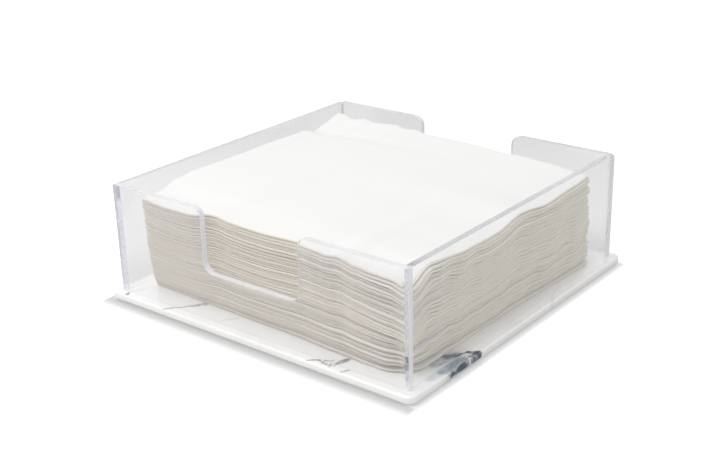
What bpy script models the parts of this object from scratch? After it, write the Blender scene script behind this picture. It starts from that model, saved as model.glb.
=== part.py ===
"""Square napkin holder: clear acrylic walls on a marble-look base, filled with folded napkins.

Frame: X runs along the notched front wall, Y towards the back wall, Z up. The origin is on the
table, under the middle of the base. All lengths are in metres.
"""

import math
import random

import bmesh
import bpy

# Acrylic box: outside of the four walls
holder_width = 0.1784
holder_depth = 0.1784
wall_height = 0.0563
wall_thickness = 0.003175
wall_edge_chamfer = 0.0002
back_corner_radius = 0.0025

# Finger notch, cut alike in the front and the back wall
notch_width = 0.059
notch_depth = 0.0318
notch_floor_radius = 0.006
notch_lip_radius = 0.005

# Base plate under the walls
base_thickness = 0.003175
base_overhang = 0.0046
base_corner_radius = 0.004
base_edge_softening = 0.0007

# Bumper feet under the base
foot_diameter = 0.010
foot_height = 0.0012
foot_edge_softening = 0.0003
foot_inset = 0.009

# Glue seams, and the air under a piece that rests on another
contact_gap = 0.0003

# Room round the napkins inside the walls, and below the walls' top
napkin_gap_left = 0.0100
napkin_gap_right = 0.0032
napkin_gap_front = 0.0040
napkin_gap_back = 0.0165
stack_top_gap = 0.0028

# Napkins: how many, how far an edge strays, and how the stack's top rises and falls
napkin_count = 40
napkin_edge_stray = 0.0006
front_ripple = 0.0013
back_ripple = 0.0008
left_ripple = 0.0032
right_ripple = 0.0015
open_corner_droop = 0.0032
open_corner_reach = 0.034
# How much further back the lowest napkin's front and back edges lie than the top one's
front_lean = 0.0050
back_lean = 0.0040

# Shares of the stack's full height: rows from front to back, columns from left to right
height_shares = (
    (0.935, 0.920, 0.875),
    (0.996, 0.970, 0.870),
    (1.030, 1.010, 0.944),
)
# Shares of a napkin's side at which its surface has a vertex
grid_shares = (0.0, 0.07, 0.19, 0.32, 0.46, 0.60, 0.74, 0.88, 1.0)
# Waves along each side, and the share of a wave at which the first one starts
front_waves, front_start_share = 2.2, 0.55
back_waves, back_start_share = 2.4, 0.30
left_waves, left_start_share = 0.82, 0.06
right_waves, right_start_share = 2.27, 0.955
# The power by which ripples fade towards the bottom of the stack
ripple_fade = 0.6

arc_steps = 6
foot_sides = 24
edge_steps = 2
stray_seed = 7

# Heights that follow from the sizes above
base_underside = foot_height + contact_gap
base_top = base_underside + base_thickness
wall_foot = base_top + contact_gap
wall_top = base_top + wall_height
stack_floor = base_top + contact_gap
stack_height = wall_height - stack_top_gap

# Inner faces of the walls, and the napkins' sides
inner_x = holder_width / 2 - wall_thickness
inner_y = holder_depth / 2 - wall_thickness
stack_left = -inner_x + napkin_gap_left
stack_right = inner_x - napkin_gap_right
stack_front = -inner_y + napkin_gap_front
stack_back = inner_y - napkin_gap_back


def clear_scene():
    for thing in list(bpy.data.objects):
        bpy.data.objects.remove(thing, do_unlink=True)


def material(name, color, roughness, metallic=0.0, transmission=0.0, alpha=1.0):
    found = bpy.data.materials.get(name)
    if found:
        return found
    made = bpy.data.materials.new(name)
    made.use_nodes = True
    shader = made.node_tree.nodes["Principled BSDF"]
    shader.inputs["Base Color"].default_value = (*color, 1.0)
    shader.inputs["Roughness"].default_value = roughness
    shader.inputs["Metallic"].default_value = metallic
    shader.inputs["Transmission Weight"].default_value = transmission
    shader.inputs["Alpha"].default_value = alpha
    made.diffuse_color = (*color, alpha)
    return made


def acrylic():
    return material("clear_acrylic", (0.90, 0.90, 0.93), 0.03, transmission=0.9, alpha=0.35)


def marble():
    return material("marble_look_acrylic", (0.90, 0.90, 0.91), 0.12)


def bumper():
    return material("clear_bumper", (0.80, 0.80, 0.80), 0.35, alpha=0.7)


def tissue():
    return material("napkin_tissue", (0.90, 0.89, 0.86), 0.95)


def empty(name, place, parent=None):
    made = bpy.data.objects.new(name, None)
    made.empty_display_size = wall_thickness
    made.location = place
    made.parent = parent
    bpy.context.scene.collection.objects.link(made)
    return made


def add_object(name, mesh, surface, place, parent):
    """Put a mesh in the scene, its origin at place, which counts from its parent."""
    made = bpy.data.objects.new(name, mesh)
    made.location = place
    made.parent = parent
    mesh.materials.append(surface)
    bpy.context.scene.collection.objects.link(made)
    return made


def soften(thing, width, steps):
    bevel = thing.modifiers.new("soft_edges", "BEVEL")
    bevel.width = width
    bevel.segments = steps
    bevel.limit_method = "ANGLE"
    bevel.angle_limit = math.radians(50)


def rounded_outline(corners):
    """Points of an outline whose corners (a, b, radius) are replaced by arcs of that radius."""
    points = []
    for index, (a, b, radius) in enumerate(corners):
        before = corners[index - 1]
        after = corners[(index + 1) % len(corners)]
        if radius == 0:
            points.append((a, b))
            continue
        back_x, back_y = before[0] - a, before[1] - b
        on_x, on_y = after[0] - a, after[1] - b
        back_length = math.hypot(back_x, back_y)
        on_length = math.hypot(on_x, on_y)
        back_x, back_y = back_x / back_length, back_y / back_length
        on_x, on_y = on_x / on_length, on_y / on_length
        half = math.acos(back_x * on_x + back_y * on_y) / 2
        reach = radius / math.sin(half)
        middle = math.hypot(back_x + on_x, back_y + on_y)
        centre_x = a + (back_x + on_x) / middle * reach
        centre_y = b + (back_y + on_y) / middle * reach
        tangent = radius / math.tan(half)
        first = math.atan2(b + back_y * tangent - centre_y, a + back_x * tangent - centre_x)
        last = math.atan2(b + on_y * tangent - centre_y, a + on_x * tangent - centre_x)
        turn = (last - first + math.pi) % math.tau - math.pi
        for step in range(arc_steps + 1):
            angle = first + turn * step / arc_steps
            points.append((centre_x + radius * math.cos(angle), centre_y + radius * math.sin(angle)))
    return points


def extruded_mesh(name, low_points, high_points):
    """A closed prism between two copies of one outline, both listed the same way round."""
    shape = bmesh.new()
    low = [shape.verts.new(point) for point in low_points]
    high = [shape.verts.new(point) for point in high_points]
    shape.faces.new(list(reversed(low)))
    shape.faces.new(high)
    count = len(low)
    for index in range(count):
        after = (index + 1) % count
        shape.faces.new((low[index], low[after], high[after], high[index]))
    bmesh.ops.recalc_face_normals(shape, faces=shape.faces)
    mesh = bpy.data.meshes.new(name)
    shape.to_mesh(mesh)
    shape.free()
    return mesh


def build_base(parent):
    half_x = holder_width / 2 + base_overhang
    half_y = holder_depth / 2 + base_overhang
    outline = rounded_outline([
        (-half_x, -half_y, base_corner_radius),
        (half_x, -half_y, base_corner_radius),
        (half_x, half_y, base_corner_radius),
        (-half_x, half_y, base_corner_radius),
    ])
    low = [(x, y, 0) for x, y in outline]
    high = [(x, y, base_thickness) for x, y in outline]
    mesh = extruded_mesh("base_plate", low, high)
    plate = add_object("base_plate", mesh, marble(), (0, 0, base_underside), parent)
    soften(plate, base_edge_softening, edge_steps)


def notched_corners(top_radius):
    """A notched wall's corners in its own plane, X along it and Z up from its foot."""
    half_x = holder_width / 2
    height = wall_top - wall_foot
    half_notch = notch_width / 2
    notch_floor = height - notch_depth
    return [
        (-half_x, 0, 0),
        (half_x, 0, 0),
        (half_x, height, top_radius),
        (half_notch, height, notch_lip_radius),
        (half_notch, notch_floor, notch_floor_radius),
        (-half_notch, notch_floor, notch_floor_radius),
        (-half_notch, height, notch_lip_radius),
        (-half_x, height, top_radius),
    ]


def build_notched_wall(name, outer_y, inward, top_radius, parent):
    """A full-width wall whose outer face is at outer_y, and whose thickness goes inward."""
    outline = rounded_outline(notched_corners(top_radius))
    low = [(x, 0, z) for x, z in outline]
    high = [(x, inward * wall_thickness, z) for x, z in outline]
    mesh = extruded_mesh(name, low, high)
    wall = add_object(name, mesh, acrylic(), (0, outer_y, wall_foot), parent)
    soften(wall, wall_edge_chamfer, 1)


def build_side_wall(name, outer_x, inward, parent):
    """A plain wall that fits between the front and the back wall."""
    half_y = inner_y - contact_gap
    height = wall_top - wall_foot
    outline = [(-half_y, 0), (half_y, 0), (half_y, height), (-half_y, height)]
    low = [(0, y, z) for y, z in outline]
    high = [(inward * wall_thickness, y, z) for y, z in outline]
    mesh = extruded_mesh(name, low, high)
    wall = add_object(name, mesh, acrylic(), (outer_x, 0, wall_foot), parent)
    soften(wall, wall_edge_chamfer, 1)


def build_walls(parent):
    build_notched_wall("front_wall", -holder_depth / 2, 1, 0, parent)
    build_notched_wall("back_wall", holder_depth / 2, -1, back_corner_radius, parent)
    build_side_wall("left_wall", -holder_width / 2, 1, parent)
    build_side_wall("right_wall", holder_width / 2, -1, parent)


def build_feet(parent):
    foot_x = holder_width / 2 + base_overhang - foot_inset - foot_diameter / 2
    foot_y = holder_depth / 2 + base_overhang - foot_inset - foot_diameter / 2
    radius = foot_diameter / 2
    ring = []
    for side in range(foot_sides):
        angle = math.tau * side / foot_sides
        ring.append((radius * math.cos(angle), radius * math.sin(angle)))
    for end, side_y in (("front", -1), ("back", 1)):
        for hand, side_x in (("left", -1), ("right", 1)):
            name = "foot_" + end + "_" + hand
            low = [(x, y, 0) for x, y in ring]
            high = [(x, y, foot_height) for x, y in ring]
            mesh = extruded_mesh(name, low, high)
            foot = add_object(name, mesh, bumper(), (side_x * foot_x, side_y * foot_y, 0), parent)
            soften(foot, foot_edge_softening, 1)


def three_point_blend(low, middle, high, share):
    """The parabola through three values at the shares 0, one half and 1."""
    near = 2 * (share - 0.5) * (share - 1)
    centre = 4 * share * (1 - share)
    far = 2 * share * (share - 0.5)
    return near * low + centre * middle + far * high


def ripple(across, along):
    """How far the waves in the napkins' loose rims lift the top, fading towards the middle."""
    front = front_ripple * math.sin(math.tau * (front_waves * across + front_start_share))
    back = back_ripple * math.sin(math.tau * (back_waves * across + back_start_share))
    left = left_ripple * math.sin(math.tau * (left_waves * along + left_start_share))
    right = right_ripple * math.sin(math.tau * (right_waves * along + right_start_share))
    front_to_back = front * (1 - along) ** 3 + back * along ** 3
    left_to_right = left * (1 - across) ** 3 + right * across ** 3
    return front_to_back + left_to_right


def corner_sag(across, along):
    """How much of open_corner_droop acts: 1 at the open front right corner, 0 past its reach."""
    off_x = (1 - across) * (stack_right - stack_left)
    off_y = along * (stack_back - stack_front)
    nearness = max(0.0, 1 - math.hypot(off_x, off_y) / open_corner_reach)
    return nearness * nearness * (3 - 2 * nearness)


def layer_height(across, along, share):
    """Height above the stack's floor of the surface that lies on this share of the napkins."""
    rows = [three_point_blend(*row, across) for row in height_shares]
    whole = stack_height * three_point_blend(*rows, along)
    whole -= open_corner_droop * corner_sag(across, along)
    return share * whole + ripple(across, along) * share ** ripple_fade


def napkin_mesh(name, low_share, high_share, sides, centre):
    """A wavy slab between two surfaces of the stack, its points counted from centre."""
    left, right, front, back = sides
    points = []
    for share, gap in ((low_share, 0), (high_share, contact_gap)):
        for across in grid_shares:
            for along in grid_shares:
                x = left + (right - left) * across
                y = front + (back - front) * along
                z = stack_floor + layer_height(across, along, share) - gap
                points.append((x - centre[0], y - centre[1], z - centre[2]))
    lines = len(grid_shares)

    def corner(level, i, j):
        return level * lines * lines + i * lines + j

    faces = []
    for i in range(lines - 1):
        for j in range(lines - 1):
            for level in (0, 1):
                a, b = corner(level, i, j), corner(level, i + 1, j)
                c, d = corner(level, i + 1, j + 1), corner(level, i, j + 1)
                halves = ((a, b, c), (a, c, d))
                faces += halves if level else [half[::-1] for half in halves]
    rim = [(i, 0) for i in range(lines - 1)]
    rim += [(lines - 1, j) for j in range(lines - 1)]
    rim += [(i, lines - 1) for i in range(lines - 1, 0, -1)]
    rim += [(0, j) for j in range(lines - 1, 0, -1)]
    for index, here in enumerate(rim):
        after = rim[(index + 1) % len(rim)]
        faces.append((corner(0, *here), corner(0, *after), corner(1, *after), corner(1, *here)))
    mesh = bpy.data.meshes.new(name)
    mesh.from_pydata(points, [], faces)
    mesh.validate()
    return mesh


def build_napkins(stack, top):
    """Fill the holder from the bottom up; the last napkin hangs on the empty of its own."""
    centre_x = (stack_left + stack_right) / 2
    centre_y = (stack_front + stack_back) / 2
    stray = random.Random(stray_seed)
    for index in range(napkin_count):
        shift_x = stray.uniform(-napkin_edge_stray, napkin_edge_stray)
        shift_y = stray.uniform(-napkin_edge_stray, napkin_edge_stray)
        depth_share = 1 - index / napkin_count
        sides = (
            stack_left + shift_x,
            stack_right + shift_x,
            stack_front + shift_y + front_lean * depth_share,
            stack_back + shift_y + back_lean * depth_share,
        )
        is_top = index == napkin_count - 1
        name = "top_napkin" if is_top else "napkin_" + str(index + 1).zfill(2)
        low_share = index / napkin_count
        high_share = (index + 1) / napkin_count
        centre = (centre_x, centre_y, stack_floor + low_share * stack_height)
        mesh = napkin_mesh(name, low_share, high_share, sides, centre)
        parent = top if is_top else stack
        offset = parent.matrix_world.translation
        place = tuple(value - start for value, start in zip(centre, offset))
        add_object(name, mesh, tissue(), place, parent)


def main():
    clear_scene()
    tray = empty("tray", (0, 0, 0))
    lift_x = (stack_left + stack_right) / 2
    lift_y = (stack_front + stack_back) / 2
    stack = empty("stack_lift", (lift_x, lift_y, stack_floor))
    top = empty("top_napkin_lift", (lift_x, lift_y, stack_floor + stack_height))
    bpy.context.view_layer.update()
    build_base(tray)
    build_walls(tray)
    build_feet(tray)
    build_napkins(stack, top)


main()
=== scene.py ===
"""Looks of the square acrylic napkin holder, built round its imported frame.

Frame: X runs along the notched front wall, Y towards the back wall, Z up from the table.
All lengths are in metres.
"""
import math

import bpy
import numpy as np
from mathutils import Matrix, Vector


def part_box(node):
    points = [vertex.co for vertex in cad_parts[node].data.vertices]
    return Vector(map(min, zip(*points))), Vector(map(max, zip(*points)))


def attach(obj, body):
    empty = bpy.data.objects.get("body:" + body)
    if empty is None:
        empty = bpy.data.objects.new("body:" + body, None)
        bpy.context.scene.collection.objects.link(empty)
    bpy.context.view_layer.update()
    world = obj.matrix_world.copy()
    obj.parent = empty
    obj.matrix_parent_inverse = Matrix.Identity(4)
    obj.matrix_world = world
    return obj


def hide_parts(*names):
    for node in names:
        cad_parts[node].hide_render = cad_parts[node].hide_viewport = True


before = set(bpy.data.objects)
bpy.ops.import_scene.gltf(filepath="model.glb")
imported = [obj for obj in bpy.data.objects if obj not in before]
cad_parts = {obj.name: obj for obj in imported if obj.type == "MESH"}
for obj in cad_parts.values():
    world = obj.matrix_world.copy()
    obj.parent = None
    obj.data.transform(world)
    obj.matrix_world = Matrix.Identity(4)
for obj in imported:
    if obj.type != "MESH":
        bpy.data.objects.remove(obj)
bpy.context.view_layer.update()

# Acrylic walls, as the frame has them
notch_width = 0.059
notch_depth = 0.0318
notch_floor_radius = 0.006
notch_lip_radius = 0.005
back_corner_radius = 0.0025
edge_polish = 0.00018
seam_clearance = 0.000005

# Marble-look base and its feet
base_corner_radius = 0.004
base_upper_radius = 0.0011
base_lower_radius = 0.0002

# Napkins: one tissue sheet each, folded twice
napkin_count = 40
flat_width = 0.318
flat_length = 0.303
tissue_thickness = 0.00016
leaf_pitch = 0.00028
stack_left, stack_right = -0.0760, 0.0828
stack_front, stack_back = -0.0820, 0.0692

# Vertex spans in half of a sheet, more in the top one, and steps round a fold
spans = 44
top_spans = 72
bend_steps = 6

# How far the lowest napkin's sides are off the top one's: bulged at the left, set back at the
# front and the back, tucked in at the front, and pressed in at the front right corner
left_bulge = 0.0032
front_set_back = 0.0032
back_set_back = 0.0042
front_tuck = 0.0029
corner_press = 0.0034

# How unevenly the napkins and their leaves lie
napkin_shift = 0.00015
napkin_turn = 0.05
leaf_stray = 0.00022
pull_choices = (0, 0.0004, 0.0007, 0.0011)
pull_chances = (0.4, 0.3, 0.2, 0.1)
side_wobble, fold_wobble, front_wobble = 0.0004, 0.0002, 0.00025
most_gap = 0.72

front_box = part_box("front_wall")
side_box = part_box("right_wall")
base_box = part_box("base_plate")
half_width = front_box[1].x
half_depth = -front_box[0].y
inner_x = side_box[0].x
inner_y = -front_box[1].y
wall_top = front_box[1].z
base_top = base_box[1].z


def smooth(values):
    """Smooth step: 0 below 0, 1 above 1, and three squares less two cubes between."""
    held = np.clip(values, 0, 1)
    return held * held * (3 - 2 * held)


def through(points, places):
    """A wave through points (place, value): flat at each one and a smooth step between two."""
    at = np.array([point[0] for point in points])
    value = np.array([point[1] for point in points])
    left = np.clip(np.searchsorted(at, places, side="right") - 1, 0, len(at) - 2)
    share = (places - at[left]) / (at[left + 1] - at[left])
    return value[left] + (value[left + 1] - value[left]) * smooth(share)


# Height of the stack above the base along its four sides, in millimetres
front_heights = ((-86, 49.4), (-75, 49.4), (-62, 48.7), (-46, 48.9), (-27, 51.4), (-18, 50.2),
                 (-9, 49.7), (3, 49.4), (24, 50.1), (34, 49.2), (41, 48.4), (47, 49.1), (57, 46.8),
                 (66, 45.9), (75, 45.4), (86, 42.5))
back_heights = ((-84, 55.9), (-73, 56.4), (-65.5, 54.4), (-56.3, 56.0), (-50.7, 54.9), (-33.6, 56.1),
                (-28.4, 54.9), (-21.6, 55.6), (-14.9, 54.5), (-5.7, 54.4), (13.9, 54.1), (38.7, 52.9),
                (44.7, 53.1), (60, 52.3), (86, 50.0))
left_heights = ((-86, 49.4), (-71, 50.3), (-59, 53.5), (-47, 54.4), (-30, 54.0), (-12, 53.7), (8, 53.9),
                (38, 53.2), (47, 50.3), (57, 52.7), (68, 55.4), (80, 55.9))
right_heights = ((-86, 42.5), (-80, 44.2), (-65, 48.9), (-38, 46.7), (-15, 46.2), (6, 49.6), (31, 46.9),
                 (55, 48.2), (75, 50.0))


def dome(across, along):
    """The stack's plain top in millimetres.

    It is a parabola across in front, in the middle and at the back, and one along through the three.
    """
    full = 53.5
    shares = ((0.935, 0.930, 0.875), (1.000, 0.975, 0.880), (1.030, 1.010, 0.944))

    def parabola(low, middle, high, at):
        return 2 * (at - 0.5) * (at - 1) * low + 4 * at * (1 - at) * middle + 2 * at * (at - 0.5) * high

    return full * parabola(*(parabola(*row, across) for row in shares), along)


# The power by which a side's wave fades towards the other side
side_fade = 2.4


def top_rise(x, y):
    """The dome at x, y, and how far the waves of the four sides lift the top off it, in metres.

    Each side's wave is its measured height less the dome, and fades towards the other side by a
    power. Where two sides meet, what they share is counted once.
    """
    across = np.clip((x - stack_left) / (stack_right - stack_left), 0, 1)
    along = np.clip((y - stack_front) / (stack_back - stack_front), 0, 1)
    sides = (
        ((1 - along) ** side_fade, through(front_heights, x * 1000) - dome(across, 0)),
        (along ** side_fade, through(back_heights, x * 1000) - dome(across, 1)),
        ((1 - across) ** side_fade, through(left_heights, y * 1000) - dome(0, along)),
        (across ** side_fade, through(right_heights, y * 1000) - dome(1, along)),
    )
    lift = sum(weight * wave for weight, wave in sides)
    corners = ((0, 2, front_heights[0][1] - dome(0, 0)), (0, 3, front_heights[-1][1] - dome(1, 0)),
               (1, 2, back_heights[0][1] - dome(0, 1)), (1, 3, back_heights[-1][1] - dome(1, 1)))
    for one, other, shared in corners:
        lift = lift - sides[one][0] * sides[other][0] * shared
    return dome(across, along) / 1000, lift / 1000


# Each napkin's share of the stack, the waves in it, its rim's quick waves and its leaves' gap
draw = np.random.default_rng(11)
layer_thickness = draw.uniform(0.80, 1.20, napkin_count)
layer_waves = draw.uniform(18, 70, (napkin_count, 3, 2)) * draw.choice((-1, 1), (napkin_count, 3, 2))
layer_phases = draw.uniform(0, math.tau, (napkin_count, 3))
layer_gaps = draw.uniform(0.26, 0.46, napkin_count)
rim_waves = draw.uniform(180, 420, (napkin_count, 2))
rim_phases = draw.uniform(0, math.tau, (napkin_count, 2))


def layer_bounds(index, x, y):
    """Underside and top of napkin number index at x, y.

    Every napkin's thickness is its own share of the stack, swollen or pressed by three slow waves,
    by quick ones near the right side, and by the lift of the sides, whose effect grows as the
    height to the power 0.3. The heights are the running sum of these, scaled so that the last one
    meets the stack's top.
    """
    plain, lift = top_rise(x, y)
    share = (np.arange(napkin_count) + 0.5).reshape(-1, 1, 1) / napkin_count
    thickness = np.clip(plain + 0.3 * lift / share ** 0.7, 0.55 * plain, None)
    at_right = smooth((x - 0.050) / 0.030)
    for wave in range(3):
        turn = layer_waves[:, wave, 0, None, None] * x + layer_waves[:, wave, 1, None, None] * y
        thickness = thickness * (1 + 0.07 * np.sin(turn + layer_phases[:, wave, None, None]))
    for wave in range(2):
        turn = rim_waves[:, wave, None, None] * y + rim_phases[:, wave, None, None]
        thickness = thickness * (1 + 0.14 * at_right * np.sin(turn))
    thickness = thickness * layer_thickness[:, None, None]
    total = thickness.sum(axis=0)
    low = thickness[:index].sum(axis=0) / total * (plain + lift)
    high = thickness[:index + 1].sum(axis=0) / total * (plain + lift)
    return base_top + low, base_top + high


def folded_line(spans):
    """Lines of vertices down one half of a folded sheet, round the fold and up the other half.

    Each has its distance from the fold as a share of the half, the sine and cosine of its place
    on the fold's half circle, and its place on the flat sheet from -1 to 1.
    """
    out = 1 - (1 - np.linspace(0, 1, spans + 1)) ** 1.35
    turn = np.linspace(-math.pi / 2, math.pi / 2, bend_steps + 1)[1:-1]
    flat_half, still = np.ones(spans + 1), np.zeros(spans + 1)
    bend_share = 0.003
    away = np.concatenate([out[::-1], 0 * turn, out])
    rise = np.concatenate([-flat_half, np.sin(turn), flat_half])
    bulge = np.concatenate([still, np.cos(turn), still])
    on_flat = bend_share + (1 - bend_share) * out
    place = np.concatenate([-on_flat[::-1], bend_share * turn / (math.pi / 2), on_flat])
    return away, rise, bulge, place


def slow_wave(places, waves, phases):
    """The mean of three sine waves along places."""
    return sum(np.sin(wave * places + phase) for wave, phase in zip(waves, phases)) / 3


# Places along the right side, in millimetres, and how far the lowest napkins are drawn in there
side_draws = ((-90, 3.3), (-55, 3.5), (-20, 3.3), (20, 2.8), (50, 1.7), (72, 1.0))
# Places along the front, in millimetres, and the share of the lowest napkins' tuck there
tuck_shares = ((-90, 1.7), (12, 1.05), (42, 0.5), (62, 0.2), (90, 0.1))
# How far the napkins just under the top one stick out
top_pulls = {39: 0, 38: 0.0005, 37: 0.0009}


def napkin_surface(index):
    """Vertices of one folded napkin's middle surface, and their places on the flat sheet.

    The sheet's two directions each run out, round a fold and back. The fold at the back joins
    leaves 0 to 1 and 2 to 3, the fold at the left joins the lower pair to the upper one, and a
    point's height goes evenly with its leaf's number from the napkin's underside to its top.
    The sides are shifted by powers of the napkin's depth in the stack, and waver a little.
    """
    lines = folded_line(top_spans if index == napkin_count - 1 else spans)
    away_x, rise_x, bulge_x, flat_x = (line[:, None] for line in lines)
    away_y, rise_y, bulge_y, flat_y = (line[None, :] for line in lines)
    own = np.random.default_rng(100 + index)
    depth = 1 - index / napkin_count
    pulled_out = top_pulls.get(index, own.choice(pull_choices, p=pull_chances))
    shift_x, shift_y = own.uniform(-napkin_shift, napkin_shift, 2)
    left = stack_left + shift_x - left_bulge * depth ** 4
    right = stack_right + shift_x
    front = stack_front + shift_y + front_set_back * depth
    back = stack_back + shift_y + back_set_back * depth

    second_leaf = (1 + rise_y) / 2
    upper_pair = (1 + rise_x) / 2
    leaf = second_leaf + upper_pair * (3 - 2 * second_leaf)
    x = left + 1.5 * leaf_pitch + away_x * (right - left - 1.5 * leaf_pitch)
    x = x - (1.5 - second_leaf) * leaf_pitch * bulge_x
    y = back - 0.5 * leaf_pitch - away_y * (back - front - 0.5 * leaf_pitch)
    y = y + 0.5 * leaf_pitch * bulge_y + 0 * x
    x = x + 0 * y

    # Near the front right corner the leaves lie less evenly
    crowded = smooth((x - 0.055) / 0.02) * smooth((-0.050 - y) / 0.025)
    stray = own.uniform(-leaf_stray, leaf_stray, (2, 2, 2))
    for pair in (0, 1):
        for second in (0, 1):
            near = upper_pair if pair else 1 - upper_pair
            near = near * (second_leaf if second else 1 - second_leaf)
            x = x + near * stray[0, pair, second] * away_x ** 3 * (1 + 1.5 * crowded)
            y = y + near * stray[1, pair, second] * away_y ** 3

    waves, phases = own.uniform(25, 110, (4, 3)), own.uniform(0, math.tau, (4, 3))
    wobble_x = side_wobble * away_x ** 4 * slow_wave(y, waves[0], phases[0])
    wobble_x = wobble_x + fold_wobble * (1 - away_x) ** 4 * slow_wave(y, waves[1], phases[1])
    wobble_y = away_y ** 4 * slow_wave(x, waves[2], phases[2])
    wobble_y = wobble_y + 0.6 * (1 - away_y) ** 4 * slow_wave(x, waves[3], phases[3])
    tucked = front_tuck * depth ** 4 * through(tuck_shares, x * 1000)
    pulled_out = pulled_out * (0.8 + 0.7 * smooth(x / 0.06))
    corner = smooth((away_x - 0.92) / 0.08) * smooth((away_y - 0.92) / 0.08)
    pressed = corner_press * depth ** 3 * corner
    drawn_in = through(side_draws, y * 1000) / 1000 * depth ** 2.5 * away_x ** 4
    side_pull = 0.8 * pulled_out + crowded * (pulled_out - 0.0012)
    front_pull = pulled_out * smooth(1.6 * away_x)
    x = x + wobble_x + side_pull * away_x ** 2 - pressed - drawn_in
    y = y + front_wobble * wobble_y + away_y ** 2 * (tucked - front_pull) + pressed

    turn = math.radians(own.uniform(-napkin_turn, napkin_turn))
    middle_x, middle_y = (left + right) / 2, (front + back) / 2
    x, y = (middle_x + (x - middle_x) * math.cos(turn) - (y - middle_y) * math.sin(turn),
            middle_y + (x - middle_x) * math.sin(turn) + (y - middle_y) * math.cos(turn))

    under, over = layer_bounds(index, x, y)
    room = over - under
    gap = room * np.minimum(layer_gaps[index] * (1 + 1.1 * crowded), most_gap)
    bottom = under + tissue_thickness / 2 + 0.02 * room
    top = over - gap - tissue_thickness / 2
    z = bottom + (top - bottom) * leaf / 3
    u = (1 + flat_x + 0 * y) / 2 * flat_width
    v = (1 + flat_y + 0 * x) / 2 * flat_length
    return np.stack([x, y, z], axis=-1), np.stack([u, v], axis=-1)


def grid_faces(rows, columns):
    """The squares of a grid of vertices, numbered row by row."""
    corner = np.arange(rows * columns).reshape(rows, columns)
    squares = (corner[:-1, :-1], corner[1:, :-1], corner[1:, 1:], corner[:-1, 1:])
    return np.stack(squares, axis=-1).reshape(-1, 4)


def rim_of(rows, columns):
    """The vertices round a grid's rim, in order."""
    corner = np.arange(rows * columns).reshape(rows, columns)
    return np.concatenate([corner[:-1, 0], corner[-1, :-1], corner[:0:-1, -1], corner[0, :0:-1]])


def thick_sheet(middle, thickness):
    """A closed shell: two copies of a grid, half the thickness off along its normals, and a rim."""
    rows, columns = middle.shape[:2]
    normals = np.cross(np.gradient(middle, axis=0), np.gradient(middle, axis=1))
    normals /= np.linalg.norm(normals, axis=-1, keepdims=True)
    face_up = (middle + normals * thickness / 2).reshape(-1, 3)
    face_down = (middle - normals * thickness / 2).reshape(-1, 3)
    squares = grid_faces(rows, columns)
    count = rows * columns
    rim = rim_of(rows, columns)
    after = np.roll(rim, -1)
    border = np.stack([rim + count, after + count, after, rim], axis=-1)
    faces = np.concatenate([squares, squares[:, ::-1] + count, border])
    return np.concatenate([face_up, face_down]), faces


def piece_of(mesh, surfaces):
    """A mesh's object, at the origin, with its materials."""
    for surface in surfaces:
        mesh.materials.append(surface)
    made = bpy.data.objects.new(mesh.name, mesh)
    bpy.context.scene.collection.objects.link(made)
    return made


def mesh_of_squares(name, points, squares, flat):
    """A smooth mesh of four-sided faces. flat holds each vertex's place on the flat sheet."""
    mesh = bpy.data.meshes.new(name)
    mesh.vertices.add(len(points))
    mesh.vertices.foreach_set("co", points.reshape(-1))
    mesh.loops.add(squares.size)
    mesh.loops.foreach_set("vertex_index", squares.reshape(-1))
    mesh.polygons.add(len(squares))
    mesh.polygons.foreach_set("loop_start", np.arange(0, squares.size, 4))
    mesh.update(calc_edges=True)
    mesh.shade_smooth()
    layer = mesh.uv_layers.new(name="flat_sheet")
    layer.data.foreach_set("uv", flat[squares.reshape(-1)].reshape(-1))
    return mesh


def mesh_of_faces(name, points, faces, sharp_from):
    """A mesh of faces of any kind, smooth but for edges sharper than sharp_from, in degrees."""
    mesh = bpy.data.meshes.new(name)
    mesh.from_pydata(np.asarray(points).tolist(), [], [[int(one) for one in face] for face in faces])
    mesh.shade_smooth()
    mesh.set_sharp_from_angle(angle=math.radians(sharp_from))
    return mesh


def lofted(name, rings, sharp_from):
    """A closed form through rings listed from the bottom up, each ring the same way round."""
    count = len(rings[0])
    corner = np.arange(count * len(rings)).reshape(len(rings), count)
    after = np.roll(corner, -1, axis=1)
    bands = np.stack([corner[:-1], after[:-1], after[1:], corner[1:]], axis=-1).reshape(-1, 4)
    faces = [list(band) for band in bands] + [list(corner[0, ::-1]), list(corner[-1])]
    return mesh_of_faces(name, np.concatenate(rings), faces, sharp_from)


def joined(tree, socket, value):
    """Link a value that is another node's socket, or set it."""
    if isinstance(value, bpy.types.NodeSocket):
        tree.links.new(value, socket)
    else:
        socket.default_value = value


def put(tree, kind, inputs=None, **settings):
    """Add a node, set its settings, and link or set its inputs, given by name or number."""
    made = tree.nodes.new(kind)
    for name, value in settings.items():
        setattr(made, name, value)
    for name, value in (inputs or {}).items():
        joined(tree, made.inputs[name], value)
    return made


def calculate(tree, operation, *values, clamp=False):
    """A Math node's result."""
    made = put(tree, "ShaderNodeMath", dict(enumerate(values)), operation=operation, use_clamp=clamp)
    return made.outputs[0]


def vector_of(tree, operation, *values, output="Vector"):
    """A Vector Math node's result."""
    made = put(tree, "ShaderNodeVectorMath", dict(enumerate(values)), operation=operation)
    return made.outputs[output]


def remap(tree, value, low, high, to_low=0.0, to_high=1.0):
    """A value from low to high brought to the range to_low to to_high, by a smooth step."""
    made = put(tree, "ShaderNodeMapRange", {"Value": value}, interpolation_type="SMOOTHSTEP")
    for name, bound in zip(("From Min", "From Max", "To Min", "To Max"), (low, high, to_low, to_high)):
        joined(tree, made.inputs[name], bound)
    return made.outputs[0]


def blended(tree, share, first, second):
    """A colour between two."""
    made = put(tree, "ShaderNodeMix", data_type="RGBA", clamp_factor=True)
    joined(tree, made.inputs["Factor"], share)
    joined(tree, made.inputs["A"], first)
    joined(tree, made.inputs["B"], second)
    return made.outputs["Result"]


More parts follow.
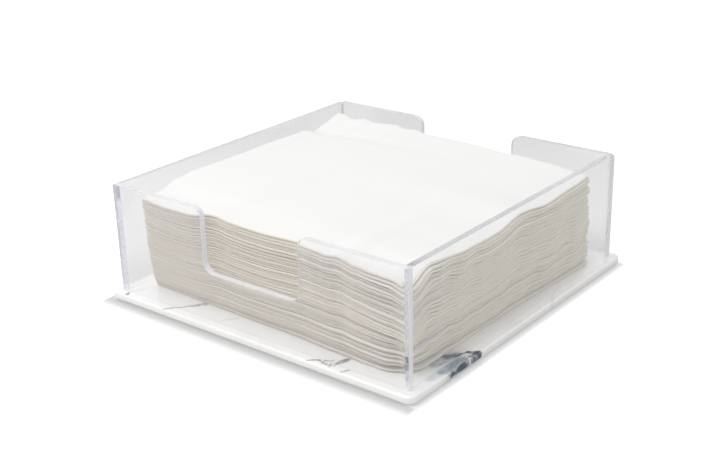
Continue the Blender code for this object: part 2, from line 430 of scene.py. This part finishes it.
def noise(tree, place, scale, detail=2.0, roughness=0.5):
    """A Noise Texture's value."""
    inputs = {"Vector": place, "Scale": scale, "Detail": detail, "Roughness": roughness}
    return put(tree, "ShaderNodeTexNoise", inputs).outputs["Fac"]


def group_of(name, inputs, outputs):
    """An empty node group. inputs holds (name, kind, value), outputs holds (name, kind)."""
    tree = bpy.data.node_groups.new(name, "ShaderNodeTree")
    for label, kind, value in inputs:
        socket = tree.interface.new_socket(name=label, in_out="INPUT", socket_type="NodeSocket" + kind)
        socket.default_value = value
    for label, kind in outputs:
        tree.interface.new_socket(name=label, in_out="OUTPUT", socket_type="NodeSocket" + kind)
    return tree, tree.nodes.new("NodeGroupInput"), tree.nodes.new("NodeGroupOutput")


def placed(tree, group, inputs):
    """A node group put in a tree, with its inputs linked or set."""
    made = tree.nodes.new("ShaderNodeGroup")
    made.node_tree = group
    for name, value in inputs.items():
        joined(tree, made.inputs[name], value)
    return made


def handling_group():
    """Faint wipes and dust on a polished surface: a roughness, and a height for a bump."""
    inputs = [("Place", "Vector", (0, 0, 0)), ("Polish", "Float", 0.05), ("Wear", "Float", 0.05)]
    outputs = [("Roughness", "Float"), ("Height", "Float")]
    tree, given, result = group_of("handling_marks", inputs, outputs)
    drawn_out = vector_of(tree, "MULTIPLY", given.outputs["Place"], (25, 60, 40))
    wipes = noise(tree, drawn_out, 1.0, 3.0, 0.6)
    specks = noise(tree, given.outputs["Place"], 900.0, 1.0)
    dust = remap(tree, specks, 0.66, 0.8, 0, 0.4)
    marks = calculate(tree, "ADD", remap(tree, wipes, 0.45, 0.75), dust)
    worn = calculate(tree, "MULTIPLY_ADD", marks, given.outputs["Wear"], given.outputs["Polish"])
    joined(tree, result.inputs["Roughness"], worn)
    joined(tree, result.inputs["Height"], wipes)
    return tree


# A vein's width at its end, as a share of that at its start
vein_end_share = 0.4


def vein_group():
    """One marble vein: 1 on the line from Start to End, 0 beyond Width, and thinner towards End."""
    inputs = [("Place", "Vector", (0, 0, 0)), ("Start", "Vector", (0, 0, 0)),
              ("End", "Vector", (1, 0, 0)), ("Width", "Float", 0.001), ("Strength", "Float", 1.0)]
    tree, given, result = group_of("marble_vein", inputs, [("Mask", "Float")])
    run = vector_of(tree, "SUBTRACT", given.outputs["End"], given.outputs["Start"])
    off = vector_of(tree, "SUBTRACT", given.outputs["Place"], given.outputs["Start"])
    along = calculate(tree, "DIVIDE", vector_of(tree, "DOT_PRODUCT", off, run, output="Value"),
                      vector_of(tree, "DOT_PRODUCT", run, run, output="Value"), clamp=True)
    scaled = put(tree, "ShaderNodeVectorMath", {0: run, "Scale": along}, operation="SCALE")
    distance = vector_of(tree, "DISTANCE", off, scaled.outputs["Vector"], output="Value")
    thinner = calculate(tree, "MULTIPLY_ADD", along, vein_end_share - 1, 1.0)
    width = calculate(tree, "MULTIPLY", given.outputs["Width"], thinner)
    near = remap(tree, distance, calculate(tree, "MULTIPLY", width, 0.3), width, 1.0, 0.0)
    joined(tree, result.inputs["Mask"], calculate(tree, "MULTIPLY", near, given.outputs["Strength"]))
    return tree


def new_material(name):
    made = bpy.data.materials.new(name)
    made.use_nodes = True
    made.node_tree.nodes.clear()
    return made, made.node_tree


def finished(tree, shader):
    put(tree, "ShaderNodeOutputMaterial", {"Surface": shader})


def acrylic_material(name, polish, clearness):
    """Clear cast acrylic, faintly lilac through its depth, with its own polish and clearness.

    Light for the diffuse pieces behind it goes straight through.
    """
    made, tree = new_material(name)
    place = put(tree, "ShaderNodeTexCoord").outputs["Object"]
    marks = placed(tree, handling, {"Place": place, "Polish": polish, "Wear": 0.010})
    clear = put(tree, "ShaderNodeBsdfPrincipled", {
        "Base Color": (0.975, 0.975, 0.98, 1), "Roughness": marks.outputs["Roughness"], "IOR": 1.49,
        "Transmission Weight": clearness})
    path = put(tree, "ShaderNodeLightPath")
    through_rays = calculate(
        tree, "MAXIMUM", path.outputs["Is Shadow Ray"], path.outputs["Is Diffuse Ray"])
    veil = put(tree, "ShaderNodeBsdfTransparent", {"Color": (0.985, 0.985, 0.985, 1)})
    mixed = put(tree, "ShaderNodeMixShader", {0: through_rays, 1: clear.outputs[0], 2: veil.outputs[0]})
    depth = put(tree, "ShaderNodeVolumeAbsorption", {"Color": (0.40, 0.40, 0.62, 1), "Density": 0.8})
    put(tree, "ShaderNodeOutputMaterial", {"Surface": mixed.outputs[0], "Volume": depth.outputs[0]})
    return made


def seam_material():
    """A welded seam inside the acrylic, where light goes on unbent."""
    made, tree = new_material("welded_seam")
    clear = put(tree, "ShaderNodeBsdfPrincipled", {
        "Base Color": (1, 1, 1, 1), "Roughness": 0.5, "Alpha": 0.0})
    finished(tree, clear.outputs[0])
    return made


# Veins as start, end, width and strength, in millimetres from the middle of the base
veins = (
    ((-82.9, -92.6), (-84.0, -90.0), 1.0, 0.70), ((-84.0, -90.0), (-78.3, -75.7), 1.0, 0.28),
    ((-43.0, -76.5), (-54.9, -93.2), 2.0, 0.62), ((-41.6, -76.0), (-47.0, -83.0), 1.2, 0.50),
    ((-18.0, -78.0), (-25.7, -87.0), 1.1, 0.20),
    ((38.6, -90.4), (36.2, -92.9), 1.0, 0.80), ((40.5, -89.4), (38.6, -90.4), 1.2, 0.80),
    ((43.4, -90.4), (40.5, -89.4), 1.2, 0.75), ((43.4, -90.4), (47.9, -91.8), 1.3, 0.75),
    ((43.0, -88.2), (45.4, -84.8), 1.2, 0.60), ((47.2, -89.8), (47.7, -92.0), 1.1, 0.65),
    ((47.2, -90.2), (49.5, -89.3), 1.1, 0.60), ((50.3, -81.1), (48.5, -87.0), 2.6, 0.80),
    ((57.0, -89.6), (54.9, -92.9), 1.1, 0.60),
    ((82.4, -54.2), (88.6, -46.0), 3.4, 1.10), ((94.6, -43.0), (88.4, -45.6), 3.6, 1.25),
    ((94.4, -45.4), (92.2, -48.2), 2.4, 0.95), ((95.3, -53.6), (95.3, -73.0), 3.1, 1.80),
    ((95.2, -63.0), (95.2, -72.0), 2.4, 1.40), ((94.3, -48.6), (94.4, -49.2), 1.3, 1.20),
    ((91.6, -53.0), (90.8, -62.0), 5.0, 0.30),
    ((96.0, 18.0), (84.0, 40.0), 1.4, 0.12), ((60.0, 98.0), (20.0, 74.0), 1.8, 0.40),
    ((-30.0, 80.0), (-58.0, 98.0), 1.4, 0.45), ((-98.0, 30.0), (-78.0, 52.0), 1.5, 0.40),
    ((-97.0, 2.0), (-80.0, -18.0), 1.1, 0.28), ((8.0, -12.0), (-22.0, -26.0), 2.0, 0.36),
    ((8.0, -12.0), (27.0, 16.0), 2.2, 0.40), ((52.0, 30.0), (27.0, 16.0), 2.6, 0.34),
    ((-38.0, 22.0), (-62.0, 38.0), 1.8, 0.34), ((-38.0, 22.0), (-27.0, -8.0), 1.6, 0.32),
    ((-8.0, -34.0), (-27.0, -8.0), 1.8, 0.26), ((-8.0, -34.0), (16.0, -62.0), 1.5, 0.24),
)
# Blue-grey clouds as start, end, width and strength
clouds = (
    ((91.0, -54.5), (90.4, -68.0), 8.5, 1.00), ((90.4, -60.0), (89.6, -76.0), 7.0, 0.40),
    ((84.5, -52.0), (82.5, -64.0), 7.5, 0.75),
    ((92.0, -48.0), (92.0, -54.0), 5.0, 0.55),
    ((45.0, -88.0), (51.0, -82.0), 5.0, 0.22), ((-60.0, 96.0), (-20.0, 80.0), 9.0, 0.25),
    ((20.0, -20.0), (60.0, 60.0), 24.0, 0.30), ((-98.0, 40.0), (-84.0, 20.0), 7.0, 0.18),
)


# How far noise shifts the veins
vein_wander = 0.003


def marble_material():
    """Polished white acrylic with a marble print: listed veins, clouds, and cream cut edges."""
    made, tree = new_material("marble_look")
    place = put(tree, "ShaderNodeTexCoord").outputs["Object"]
    wander = put(tree, "ShaderNodeTexNoise", {"Vector": place, "Scale": 260.0, "Detail": 3.0})
    off = vector_of(tree, "SUBTRACT", wander.outputs["Color"], (0.5, 0.5, 0.5))
    off = vector_of(tree, "MULTIPLY", off, (vein_wander, vein_wander, 0))
    flat = vector_of(tree, "MULTIPLY", vector_of(tree, "ADD", place, off), (1, 1, 0))
    masks = []
    for lines in (veins, clouds):
        mask = 0.0
        for start, end, width, strength in lines:
            one = placed(tree, vein, {
                "Place": flat, "Start": (start[0] / 1000, start[1] / 1000, 0),
                "End": (end[0] / 1000, end[1] / 1000, 0), "Width": width / 1000, "Strength": strength})
            mask = calculate(tree, "MAXIMUM", mask, one.outputs["Mask"])
        masks.append(mask)
    strokes = noise(tree, vector_of(tree, "MULTIPLY", place, (620, 230, 400)), 1.0, 3.0, 0.6)
    broken = remap(tree, strokes, 0.34, 0.58, 0.5, 1.0)
    patchy = remap(tree, strokes, 0.30, 0.62, 0.65, 1.0)
    drift = remap(tree, noise(tree, place, 38.0, 5.0, 0.62), 0.46, 0.72, 0.0, 0.16)
    height = put(tree, "ShaderNodeSeparateXYZ", {0: place}).outputs["Z"]
    cut_edge = remap(tree, height, base_top - 0.0014, base_top - 0.0007, 1.0, 0.0)
    white, cream = (0.985, 0.985, 0.985, 1), (0.99, 0.98, 0.96, 1)
    grey, dark = (0.36, 0.42, 0.48, 1), (0.08, 0.09, 0.12, 1)
    ground = blended(tree, cut_edge, white, cream)
    ground = blended(tree, drift, ground, (0.72, 0.74, 0.78, 1))
    clouded = blended(tree, calculate(tree, "MULTIPLY", masks[1], patchy), ground, grey)
    color = blended(tree, calculate(tree, "MULTIPLY", masks[0], broken), clouded, dark)
    marks = placed(tree, handling, {"Place": place, "Polish": 0.09, "Wear": 0.06})
    skin = put(tree, "ShaderNodeBump", {
        "Height": marks.outputs["Height"], "Strength": 0.05, "Distance": 0.0002})
    shader = put(tree, "ShaderNodeBsdfPrincipled", {
        "Base Color": color, "Roughness": marks.outputs["Roughness"], "IOR": 1.49,
        "Normal": skin.outputs["Normal"], "Coat Weight": 0.25, "Coat Roughness": 0.05})
    finished(tree, shader.outputs[0])
    return made


def bumper_material():
    """Clear soft bumper: cloudy, slightly rough."""
    made, tree = new_material("clear_bumper")
    place = put(tree, "ShaderNodeTexCoord").outputs["Object"]
    marks = placed(tree, handling, {"Place": place, "Polish": 0.22, "Wear": 0.15})
    skin = put(tree, "ShaderNodeBump", {
        "Height": noise(tree, place, 2500.0, 2.0), "Strength": 0.2, "Distance": 0.0001})
    shader = put(tree, "ShaderNodeBsdfPrincipled", {
        "Base Color": (0.86, 0.87, 0.88, 1), "Roughness": marks.outputs["Roughness"], "IOR": 1.48,
        "Transmission Weight": 0.75, "Normal": skin.outputs["Normal"]})
    finished(tree, shader.outputs[0])
    return made


def tissue_material():
    """Soft white tissue: crepe and fibres, faint pressed dots, and painted shade along its cut edges,
    darker and creamier where they make the stack's front and right faces.
    """
    made, tree = new_material("napkin_tissue")
    flat = put(tree, "ShaderNodeUVMap", uv_map="flat_sheet").outputs["UV"]
    parts = put(tree, "ShaderNodeSeparateXYZ", {0: flat})
    # Painted shade: near a sheet's cut edges the colour turns darker and creamier, in patches on the
    # right face, for the shade between the leaves
    painted_edge_shades = []
    for value, size in ((parts.outputs["X"], flat_width), (parts.outputs["Y"], flat_length)):
        off_rim = calculate(tree, "MINIMUM", value, calculate(tree, "SUBTRACT", size, value))
        painted_edge_shades.append(remap(tree, off_rim, 0.0002, 0.0012, 1.0, 0.0))
    patches = noise(tree, vector_of(tree, "MULTIPLY", flat, (60, 60, 1)), 1.0, 3.0, 0.6)
    side_shade_patches = remap(tree, patches, 0.35, 0.7)
    crepe = noise(tree, vector_of(tree, "MULTIPLY", flat, (900, 4200, 1)), 1.0, 3.0, 0.6)
    fibre = noise(tree, vector_of(tree, "MULTIPLY", flat, (5200, 2600, 1)), 1.0, 2.0, 0.7)
    dots = put(tree, "ShaderNodeTexVoronoi", {"Vector": flat, "Scale": 620.0, "Randomness": 0.25})
    dimples = remap(tree, dots.outputs["Distance"], 0.10, 0.42)
    crumple = noise(tree, flat, 22.0, 3.0, 0.55)
    relief = calculate(tree, "MULTIPLY_ADD", crepe, 0.5, calculate(tree, "MULTIPLY", dimples, 0.45))
    relief = calculate(tree, "ADD", relief, calculate(tree, "MULTIPLY", fibre, 0.35))
    fine = put(tree, "ShaderNodeBump", {"Height": relief, "Strength": 0.35, "Distance": 0.00012})
    soft = put(tree, "ShaderNodeBump", {
        "Height": crumple, "Strength": 0.25, "Distance": 0.0012, "Normal": fine.outputs["Normal"]})
    shade = remap(tree, fibre, 0.25, 0.75)
    paper = blended(tree, shade, (0.885, 0.88, 0.87, 1), (0.915, 0.913, 0.907, 1))
    color = blended(tree, painted_edge_shades[1], paper, (0.885, 0.84, 0.765, 1))
    painted_side_shade = blended(tree, side_shade_patches, (0.92, 0.89, 0.815, 1), (0.91, 0.855, 0.73, 1))
    color = blended(tree, painted_edge_shades[0], color, painted_side_shade)
    shader = put(tree, "ShaderNodeBsdfPrincipled", {
        "Base Color": color, "Roughness": remap(tree, fibre, 0.2, 0.8, 0.88, 0.98),
        "Normal": soft.outputs["Normal"], "Specular IOR Level": 0.2, "Sheen Weight": 0.05})
    finished(tree, shader.outputs[0])
    return made


handling = handling_group()
vein = vein_group()
# The polished faces, the cut edges, and a whiter, less clear copy of the cut edges: painted light
# on the notches and on the front wall's top and right end
acrylic = acrylic_material("clear_acrylic", 0.0, 1.0)
cut_acrylic = acrylic_material("acrylic_cut_edges", 0.29, 0.75)
painted_lit_acrylic = acrylic_material("acrylic_painted_lit_edges", 0.29, 0.36)
seam = seam_material()
marble = marble_material()
bumper = bumper_material()
tissue = tissue_material()


# Edges of the walls that turn by more than this, in degrees, are sharp
wall_sharp_from = 35


def rounded_outline(corners, steps):
    """An outline whose corners (a, b, radius) are quarter circles, listed as points (a, b)."""
    points = []
    for number, (a, b, radius) in enumerate(corners):
        if radius == 0:
            points.append((a, b))
            continue
        here = np.array((a, b))
        to_last = np.array(corners[number - 1][:2]) - here
        to_next = np.array(corners[(number + 1) % len(corners)][:2]) - here
        to_last, to_next = to_last / np.linalg.norm(to_last), to_next / np.linalg.norm(to_next)
        turn = np.linspace(0, math.pi / 2, steps + 1)[:, None]
        arc = here + radius * (to_last * (1 - np.sin(turn)) + to_next * (1 - np.cos(turn)))
        points += [tuple(point) for point in arc]
    return points


def wall_piece(name, node, points, faces, broad_faces, seam_faces, painted_lit_faces=()):
    """A wall whose edges are bevelled everywhere but at its welded seams.

    Its faces are cut edges, apart from those whose numbers are given as broad, as seam, or as cut edges
    whitened as painted light.
    """
    mesh = mesh_of_faces(name, points, faces, wall_sharp_from)
    number = np.arange(len(faces))
    is_seam = np.isin(number, seam_faces)
    surface = np.where(np.isin(number, painted_lit_faces), 3, 2)
    surface = np.where(np.isin(number, broad_faces), 0, surface)
    mesh.polygons.foreach_set("material_index", np.where(is_seam, 1, surface))
    mesh.update()
    sizes = np.empty(len(faces), dtype=int)
    mesh.polygons.foreach_get("loop_total", sizes)
    normals = np.empty(len(faces) * 3)
    mesh.polygons.foreach_get("normal", normals)
    loop_edges = np.empty(len(mesh.loops), dtype=int)
    mesh.loops.foreach_get("edge_index", loop_edges)
    beside = np.repeat(number, sizes)[np.argsort(loop_edges, kind="stable")].reshape(-1, 2)
    normals = normals.reshape(-1, 3)[beside]
    turns = (normals[:, 0] * normals[:, 1]).sum(axis=1) < math.cos(math.radians(wall_sharp_from))
    weights = mesh.attributes.new("bevel_weight_edge", "FLOAT", "EDGE")
    weights.data.foreach_set("value", (turns & ~is_seam[beside].any(axis=1)).astype(float))
    wall = piece_of(mesh, (acrylic, seam, cut_acrylic, painted_lit_acrylic))
    polish = wall.modifiers.new("polished_edges", "BEVEL")
    polish.width = edge_polish
    polish.segments = 2
    polish.limit_method = "WEIGHT"
    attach(wall, "tray")
    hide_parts(node)
    return wall


def notched_wall(name, node, outer, inner, top_radius):
    """The notched outline carried from the wall's outer to its inner face.

    Faces 0 to 2 stand on the base, the others up to count go round the outline, and after them
    come the outer face and the inner face's three parts: the middle, and the two strips that are
    welded to the side walls.
    """
    notch_floor = wall_top - notch_depth
    half_notch = notch_width / 2
    outline = np.array(rounded_outline([
        (-half_width, foot, 0), (-inner_x, foot, 0), (inner_x, foot, 0), (half_width, foot, 0),
        (half_width, wall_top, top_radius), (inner_x, wall_top, 0),
        (half_notch, wall_top, notch_lip_radius), (half_notch, notch_floor, notch_floor_radius),
        (-half_notch, notch_floor, notch_floor_radius), (-half_notch, wall_top, notch_lip_radius),
        (-inner_x, wall_top, 0), (-half_width, wall_top, top_radius)], 10))
    count = len(outline)
    points = np.concatenate([
        np.stack([outline[:, 0], np.full(count, depth), outline[:, 1]], axis=-1)
        for depth in (outer, inner)])
    ring = np.arange(count)
    after = np.roll(ring, -1)
    on_top = np.isclose(outline[:, 1], wall_top)
    high_right = int(ring[on_top & np.isclose(outline[:, 0], inner_x)][0])
    high_left = int(ring[on_top & np.isclose(outline[:, 0], -inner_x)][0])
    low_left, low_right = 1, 2
    right_strip = ring[low_right:high_right + 1]
    left_strip = np.concatenate([ring[high_left:], ring[:low_left + 1]])
    middle = np.concatenate([ring[high_right:high_left + 1], ring[low_left:low_right + 1]])
    faces = [list(face) for face in np.stack([ring, ring + count, after + count, after], axis=-1)]
    faces.append(list(ring))
    faces += [list(part[::-1] + count) for part in (middle, right_strip, left_strip)]
    seam_faces = [0, 1, 2, count + 2, count + 3]
    middle_x, middle_z = ((outline + np.roll(outline, -1, axis=0)) / 2).T
    in_notch = (abs(middle_x) < half_notch + notch_lip_radius) & (middle_z < wall_top - seam_clearance)
    # The notch's cut faces, and on the front wall its top and right end, get the whiter acrylic as
    # painted light
    painted_lit = in_notch & (middle_z > foot + seam_clearance)
    polished = [count, count + 1]
    if inner > outer:
        on_right_end = middle_x > half_width - seam_clearance
        painted_lit = painted_lit | (middle_z > wall_top - seam_clearance) | on_right_end
    else:
        faces = [face[::-1] for face in faces]
        polished.append(count - 1)
    return wall_piece(name, node, points, faces, polished, seam_faces, ring[painted_lit])


def side_wall(name, node, outer, inner):
    """A plain sheet between the notched walls, welded to them and to the base."""
    low_x, high_x = min(outer, inner), max(outer, inner)
    reach = inner_y - seam_clearance
    points = [(x, y, z) for x in (low_x, high_x) for y in (-reach, reach) for z in (foot, wall_top)]
    faces = [(0, 1, 3, 2), (4, 6, 7, 5), (0, 4, 5, 1), (2, 3, 7, 6), (0, 2, 6, 4), (1, 5, 7, 3)]
    return wall_piece(name, node, points, faces, [0, 1], [2, 3, 4])


foot = base_top + seam_clearance
notched_wall("clear_front_wall", "front_wall", -half_depth, -inner_y, 0)
notched_wall("clear_back_wall", "back_wall", half_depth, inner_y, back_corner_radius)
side_wall("clear_left_wall", "left_wall", -half_width, -inner_x)
side_wall("clear_right_wall", "right_wall", half_width, inner_x)


def marble_base():
    """The base's rounded outline, drawn in along a quarter circle at its lower and upper edge."""
    low, high = base_box[0].z, base_box[1].z
    turn = np.linspace(0, math.pi / 2, 7)
    inset, rise = 1 - np.sin(turn), 1 - np.cos(turn)
    profile = list(zip(base_lower_radius * inset, low + base_lower_radius * rise))
    profile += list(zip(base_upper_radius * inset[::-1], high - base_upper_radius * rise[::-1]))
    rings = []
    for inward, height in profile:
        half_x, half_y = base_box[1].x - inward, base_box[1].y - inward
        radius = base_corner_radius - inward
        outline = np.array(rounded_outline([
            (-half_x, -half_y, radius), (half_x, -half_y, radius),
            (half_x, half_y, radius), (-half_x, half_y, radius)], 12))
        rings.append(np.column_stack([outline, np.full(len(outline), height)]))
    base = piece_of(lofted("marble_base", rings, 40), (marble,))
    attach(base, "tray")
    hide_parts("base_plate")


def bumper_foot(place):
    """A low dome turned about its own axis: stuck to the base at the top, smaller on the table."""
    node = "foot_" + place
    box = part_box(node)
    middle = (box[0] + box[1]) / 2
    radius = (box[1].x - box[0].x) / 2
    height = base_box[0].z - seam_clearance
    profile = ((0.70, 0.0), (0.80, 0.02), (0.88, 0.12), (0.94, 0.30), (0.98, 0.60), (1.0, 0.93),
               (0.99, 1.0))
    angles = np.linspace(0, math.tau, 48, endpoint=False)
    rings = [np.column_stack([
        middle.x + radius * share * np.cos(angles), middle.y + radius * share * np.sin(angles),
        np.full(len(angles), height * rise)]) for share, rise in profile]
    foot_piece = piece_of(lofted("bumper_" + place, rings, 50), (bumper,))
    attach(foot_piece, "tray")
    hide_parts(node)


marble_base()
for corner_place in ("front_left", "front_right", "back_left", "back_right"):
    bumper_foot(corner_place)


def napkins():
    for index in range(napkin_count):
        is_top = index == napkin_count - 1
        node = "top_napkin" if is_top else "napkin_" + str(index + 1).zfill(2)
        middle, flat = napkin_surface(index)
        points, squares = thick_sheet(middle, tissue_thickness)
        flat = np.concatenate([flat.reshape(-1, 2)] * 2)
        sheet = piece_of(mesh_of_squares("folded_" + node, points, squares, flat), (tissue,))
        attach(sheet, "top_napkin" if is_top else "napkin_stack")
        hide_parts(node)


napkins()


def off_corner(tree, across, along, sign, start):
    """How far a place is beyond start: the root of two squares, the one along counted fourfold."""
    sides = []
    for value, stretch in ((across, 1), (along, 4)):
        beyond = calculate(tree, "MULTIPLY_ADD", value, sign * stretch, -stretch * start)
        sides.append(calculate(tree, "POWER", calculate(tree, "MAXIMUM", beyond, 0.0), 2.0))
    return calculate(tree, "SQRT", calculate(tree, "ADD", *sides))


def floor_material():
    """Pale floor that shows white to the camera and greyer through the acrylic.

    Its glow is lowered along the base as painted shadow, in a band wider at the front and left than at
    the right and drawn out at the corners, and raised under its rim as painted light. To the camera its
    own colour is darker, which deepens the shadow. Through the acrylic it is painted greyer towards the
    back and near the base.
    """
    made, tree = new_material("studio_floor")
    path = put(tree, "ShaderNodeLightPath")
    parts = put(tree, "ShaderNodeSeparateXYZ", {0: put(tree, "ShaderNodeTexCoord").outputs["Object"]})
    x, y = parts.outputs["X"], parts.outputs["Y"]
    half = base_box[1].x
    off_front = calculate(tree, "MULTIPLY", -1.0, calculate(tree, "MINIMUM", x, y))
    off_base = calculate(tree, "MAXIMUM", calculate(tree, "MAXIMUM", x, y), off_front)
    right = remap(tree, off_corner(tree, x, y, 1, half - 0.001), 0.0, 0.0055, 0.0, far_glow)
    front = remap(tree, off_corner(tree, y, x, -1, half + 0.0005), 0.0, 0.010, front_glow, far_glow)
    under = remap(tree, off_front, half - 0.002, half + 0.0005, under_glow, front_glow)
    seen = calculate(tree, "MAXIMUM", calculate(tree, "MAXIMUM", right, front), under)
    slant = calculate(tree, "MULTIPLY_ADD", x, -0.6, y)
    past_walls = calculate(tree, "MULTIPLY", remap(tree, slant, 0.10, 0.34, through_near, through_far),
                           remap(tree, off_base, half, half + 0.05, 0.2, 1.0))
    glow = calculate(tree, "MULTIPLY", path.outputs["Is Transmission Ray"], past_walls)
    glow = calculate(tree, "MULTIPLY_ADD", path.outputs["Is Camera Ray"], seen, glow)
    shade = calculate(tree, "MULTIPLY_ADD", path.outputs["Is Camera Ray"],
                      seen_shade - floor_shade, floor_shade)
    matt = put(tree, "ShaderNodeBsdfDiffuse", {"Color": put(tree, "ShaderNodeCombineXYZ", {
        0: shade, 1: shade, 2: shade}).outputs[0]})
    light = put(tree, "ShaderNodeEmission", {"Color": (1, 1, 1, 1), "Strength": glow})
    both = put(tree, "ShaderNodeAddShader", {0: matt.outputs[0], 1: light.outputs[0]})
    finished(tree, both.outputs[0])
    return made


# How bright the floor is by itself and, darker, to the camera, and what is added for the rays that see
# it:
# painted light under the base's rim, painted shadow along the base, the open floor's glow, and the glow
# through the acrylic, less towards the back
floor_shade, seen_shade = 0.75, 0.62
under_glow, front_glow, far_glow = 0.33, 0.05, 0.64
through_near, through_far = 0.15, 0.05


def floor(reach):
    angles = np.linspace(0, math.tau, 96, endpoint=False)
    points = np.column_stack([reach * np.cos(angles), reach * np.sin(angles), 0 * angles])
    disc = mesh_of_faces("studio_floor", points, [list(range(96))], 30)
    piece_of(disc, (floor_material(),))


def surround():
    """Even light from all round, and white where the camera sees it, also through the acrylic."""
    world = bpy.data.worlds.new("studio")
    bpy.context.scene.world = world
    world.use_nodes = True
    tree = world.node_tree
    tree.nodes.clear()
    path = put(tree, "ShaderNodeLightPath")
    mirrored = calculate(tree, "MULTIPLY", path.outputs["Is Glossy Ray"], 0.3)
    seen = calculate(tree, "MAXIMUM", path.outputs["Is Camera Ray"], path.outputs["Is Transmission Ray"])
    seen = calculate(tree, "MAXIMUM", seen, mirrored)
    strength = calculate(tree, "MULTIPLY_ADD", seen, 1 - surround_level, surround_level)
    light = put(tree, "ShaderNodeBackground", {"Color": (1, 1, 1, 1), "Strength": strength})
    put(tree, "ShaderNodeOutputWorld", {"Surface": light.outputs[0]})


def soft_light(name, place, target, size, power):
    """A square area light at place, turned towards target."""
    data = bpy.data.lights.new(name, "AREA")
    data.shape = "SQUARE"
    data.size = size
    data.energy = power
    light = bpy.data.objects.new(name, data)
    light.location = place
    light.rotation_euler = (Vector(target) - Vector(place)).to_track_quat("-Z", "Y").to_euler()
    bpy.context.scene.collection.objects.link(light)


surround_level = 0.72
floor(reach=6)
surround()
soft_light("overhead", place=(-0.20, -0.42, 0.95), target=(0, 0, 0.03), size=0.9, power=4.6)


def camera():
    """The view of the photograph, from a camera fitted to the corners and edges seen there."""
    turn, rise, roll = math.radians(38.782), math.radians(22.166), math.radians(-1.4313)
    distance = 0.61480
    target = Vector((0, -0.008506, base_top + 0.022604))
    back = Vector((math.sin(turn) * math.cos(rise), -math.cos(turn) * math.cos(rise), math.sin(rise)))
    level = Vector((math.cos(turn), math.sin(turn), 0))
    upright = back.cross(level)
    right = level * math.cos(roll) + upright * math.sin(roll)
    up = upright * math.cos(roll) - level * math.sin(roll)
    data = bpy.data.cameras.new("photo_view")
    data.sensor_width = 36
    data.lens = 61.078
    view = bpy.data.objects.new("photo_view", data)
    axes = Matrix((right, up, back)).transposed().to_4x4()
    view.matrix_world = Matrix.Translation(target + back * distance) @ axes
    bpy.context.scene.collection.objects.link(view)
    bpy.context.scene.camera = view


def light_paths():
    """Light is followed far enough to come out of the walls again after its turns inside them."""
    paths = bpy.context.scene.cycles
    paths.max_bounces = 200
    paths.transmission_bounces = 200
    paths.glossy_bounces = 200
    paths.transparent_max_bounces = 64


camera()
light_paths()
bpy.context.scene.view_settings.view_transform = "Standard"

bpy.context.view_layer.update()
